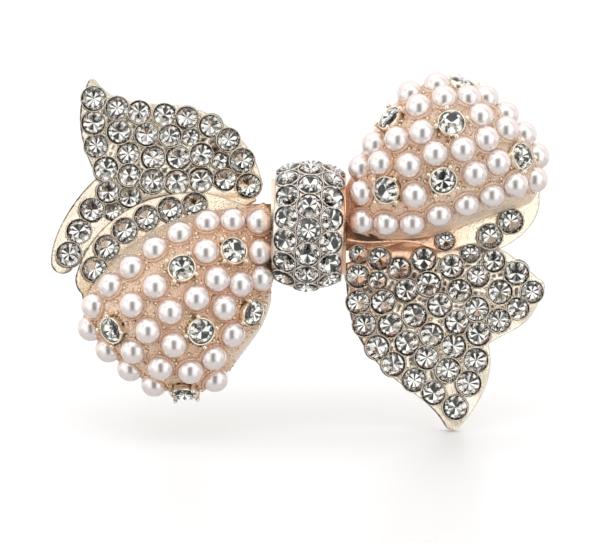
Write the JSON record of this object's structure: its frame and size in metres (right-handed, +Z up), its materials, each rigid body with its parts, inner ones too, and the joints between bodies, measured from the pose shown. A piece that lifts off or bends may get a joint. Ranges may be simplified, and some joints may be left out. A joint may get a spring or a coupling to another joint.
{
  "type": "hair clip",
  "caption": "Bow-shaped hair clip in rose-gold metal, set with rhinestones and pearls, on a sprung French barrette with a pinch latch.",
  "frame": {"origin": "middle of the clip's underside: centre of the bounding box in X and Y, lowest point of the right ribbon tail in Z", "axes": "+X to the bow's right as seen from the front, +Y from the bow's face to the barrette at its back, +Z up; the bow leans back by 10 degrees"},
  "size_m": [0.0696, 0.0324, 0.0506],
  "materials": {
    "rose_gold_casting": "polished rose-gold plating on a cast alloy",
    "rhinestone": "clear cut glass with a foiled back",
    "pearl": "pearl coating on plastic, glossy",
    "clip_steel": "stamped and plated steel, polished",
    "spring_steel": "bright spring steel"
  },
  "bodies": {
    "bow": {"left_tail": "rose_gold_casting", "right_tail": "rose_gold_casting", "left_loop_back": "rose_gold_casting", "right_loop_back": "rose_gold_casting", "left_loop_front": "rose_gold_casting", "right_loop_front": "rose_gold_casting", "left_crystal_settings": "rose_gold_casting", "right_crystal_settings": "rose_gold_casting", "knot_band": "rose_gold_casting", "bow_core": "rose_gold_casting", "saddle": "rose_gold_casting", "left_post": "rose_gold_casting", "right_post": "rose_gold_casting", "left_tail_stones": "rhinestone", "left_lobe_stones": "rhinestone", "right_tail_stones": "rhinestone", "right_lobe_stones": "rhinestone", "left_loop_back_stones": "rhinestone", "right_loop_back_stones": "rhinestone", "knot_stones": "rhinestone", "left_crystals": "rhinestone", "right_crystals": "rhinestone", "left_loop_pearls": "pearl", "right_loop_pearls": "pearl", "clip_base": "clip_steel", "hinge_pin": "clip_steel", "latch_plate": "clip_steel", "leaf_rivet": "clip_steel"},
    "arm": {"clip_arm": "clip_steel"},
    "prong_upper": {"latch_prong_upper": "clip_steel"},
    "prong_lower": {"latch_prong_lower": "clip_steel"},
    "leaf": {"tension_leaf": "spring_steel"}
  },
  "joints": [
    {"name": "arm_hinge", "type": "hinge", "parent": "bow", "child": "arm", "pos_m": [-0.02583, 0.01279, 0.02614], "axis": [0, 0.1736, 0.9848], "range_deg": [0, 100]},
    {"name": "prong_upper_flex", "type": "hinge", "parent": "bow", "child": "prong_upper", "pos_m": [0.02487, 0.00871, 0.02818], "axis": [-1, 0, 0], "range_deg": [0, 7], "stiffness_Nm_per_rad": 0.02},
    {"name": "prong_lower_flex", "type": "hinge", "parent": "bow", "child": "prong_lower", "pos_m": [0.02487, 0.00826, 0.02562], "axis": [1, 0, 0], "range_deg": [0, 7], "stiffness_Nm_per_rad": 0.02},
    {"name": "leaf_flex", "type": "hinge", "parent": "bow", "child": "leaf", "pos_m": [-0.01663, 0.00594, 0.02735], "axis": [0, 0.1736, 0.9848], "range_deg": [-1.5, 0], "stiffness_Nm_per_rad": 0.05}
  ],
  "couplings": [
    {"joint": "prong_lower_flex", "follows": "prong_upper_flex", "ratio": 1}
  ]
}
